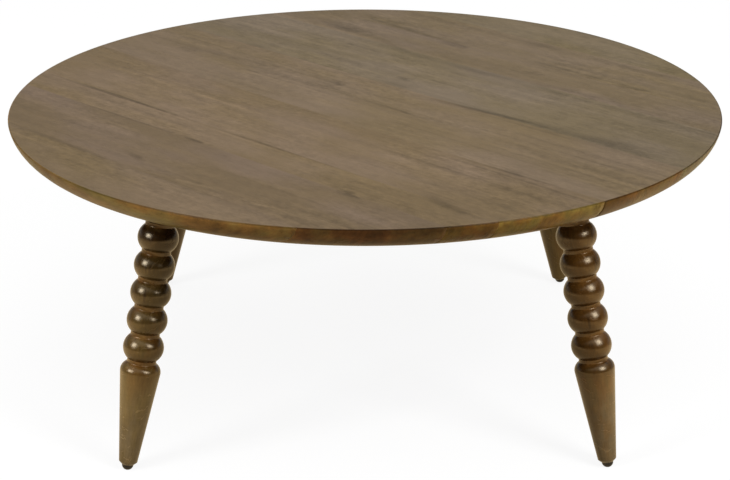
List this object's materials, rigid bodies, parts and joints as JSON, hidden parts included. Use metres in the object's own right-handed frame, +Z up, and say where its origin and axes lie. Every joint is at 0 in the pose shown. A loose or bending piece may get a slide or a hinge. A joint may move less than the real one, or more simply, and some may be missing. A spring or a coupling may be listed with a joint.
{
  "type": "round cocktail table",
  "caption": "Low round table: a thick undercut top of edge-glued planks on splayed bobbin-turned legs that taper to domed glides; holds drinks and books beside a seat.",
  "frame": {"origin": "on the floor, under the middle of the top", "axes": "+Z up, -Y the front as pictured, legs on the diagonals, grain along +X-Y"},
  "size_m": [0.9144, 0.9144, 0.376],
  "materials": {
    "plank_wood": "greyish brown stain under satin lacquer",
    "leg_wood": "dark warm brown stain under semi-gloss lacquer",
    "batten_wood": "planed, thin sealer",
    "plate_steel": "black powder coat",
    "fastener_steel": "zinc plated",
    "glide_plastic": "moulded, near black"
  },
  "bodies": {
    "root": {"plank_1": "plank_wood", "plank_2": "plank_wood", "plank_3": "plank_wood", "plank_4": "plank_wood", "plank_5": "plank_wood", "plank_6": "plank_wood", "plank_7": "plank_wood", "plank_8": "plank_wood", "plank_9": "plank_wood", "leg_back_right": "leg_wood", "glide_back_right": "glide_plastic", "leg_plate_back_right": "plate_steel", "leg_back_left": "leg_wood", "glide_back_left": "glide_plastic", "leg_plate_back_left": "plate_steel", "leg_front_left": "leg_wood", "glide_front_left": "glide_plastic", "leg_plate_front_left": "plate_steel", "leg_front_right": "leg_wood", "glide_front_right": "glide_plastic", "leg_plate_front_right": "plate_steel", "batten_left": "batten_wood", "batten_right": "batten_wood", "hanger_bolts": "fastener_steel", "glide_nails": "fastener_steel", "plate_screws": "fastener_steel", "batten_screws": "fastener_steel"}
  },
  "joints": []
}
